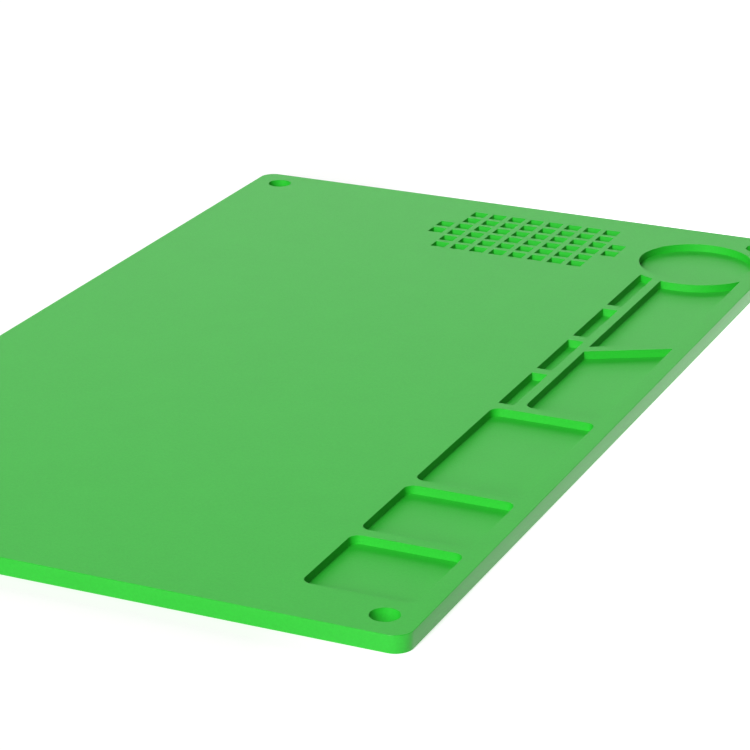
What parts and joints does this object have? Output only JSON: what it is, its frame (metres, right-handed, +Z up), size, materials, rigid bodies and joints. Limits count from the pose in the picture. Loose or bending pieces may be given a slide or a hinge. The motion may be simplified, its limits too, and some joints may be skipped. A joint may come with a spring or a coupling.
{
  "type": "silicone parts sorting mat",
  "caption": "Flat flexible silicone mat with shallow pockets, narrow slots, slanted trays, a round dish and a field of small cells that keep loose model parts apart.",
  "frame": {"origin": "middle of the underside, on the bench", "axes": "+X to the pocket side of the mat, +Y along it to the dish and cell end, +Z up"},
  "size_m": [0.2, 0.3292, 0.005],
  "materials": {
    "silicone": "matte moulded"
  },
  "bodies": {
    "front_stretch": {"front_pocket_strip": "silicone"},
    "second_stretch": {"second_pocket_strip": "silicone"},
    "long_stretch": {"long_pocket_strip": "silicone"},
    "slot_stretch_1": {"slot_strip_1": "silicone"},
    "slot_stretch_2": {"slot_strip_2": "silicone"},
    "slot_stretch_3": {"slot_strip_3": "silicone"},
    "slot_stretch_4": {"slot_strip_4": "silicone"},
    "far_stretch": {"far_plain_block": "silicone", "cell_field_front": "silicone", "cell_row_1": "silicone", "cell_row_2": "silicone", "cell_row_3": "silicone", "cell_row_4": "silicone", "cell_row_5": "silicone", "cell_row_6": "silicone", "dish_block": "silicone"}
  },
  "joints": [
    {"name": "bend_1", "type": "hinge", "parent": "second_stretch", "child": "front_stretch", "pos_m": [0, -0.11195, 0.005], "axis": [-1, 0, 0], "range_deg": [0, 45], "stiffness_Nm_per_rad": 0.12},
    {"name": "bend_2", "type": "hinge", "parent": "long_stretch", "child": "second_stretch", "pos_m": [0, -0.07595, 0.005], "axis": [-1, 0, 0], "range_deg": [0, 45], "stiffness_Nm_per_rad": 0.108},
    {"name": "bend_3", "type": "hinge", "parent": "slot_stretch_1", "child": "long_stretch", "pos_m": [0, -0.01395, 0.005], "axis": [-1, 0, 0], "range_deg": [0, 45], "stiffness_Nm_per_rad": 0.114},
    {"name": "bend_4", "type": "hinge", "parent": "slot_stretch_1", "child": "slot_stretch_2", "pos_m": [0, 0.01705, 0.005], "axis": [1, 0, 0], "range_deg": [0, 45], "stiffness_Nm_per_rad": 0.171},
    {"name": "bend_5", "type": "hinge", "parent": "slot_stretch_2", "child": "slot_stretch_3", "pos_m": [0, 0.04805, 0.005], "axis": [1, 0, 0], "range_deg": [0, 45], "stiffness_Nm_per_rad": 0.171},
    {"name": "bend_6", "type": "hinge", "parent": "slot_stretch_3", "child": "slot_stretch_4", "pos_m": [0, 0.07905, 0.005], "axis": [1, 0, 0], "range_deg": [0, 45], "stiffness_Nm_per_rad": 0.185},
    {"name": "bend_7", "type": "hinge", "parent": "slot_stretch_4", "child": "far_stretch", "pos_m": [0, 0.10535, 0.005], "axis": [1, 0, 0], "range_deg": [0, 45], "stiffness_Nm_per_rad": 0.124}
  ]
}
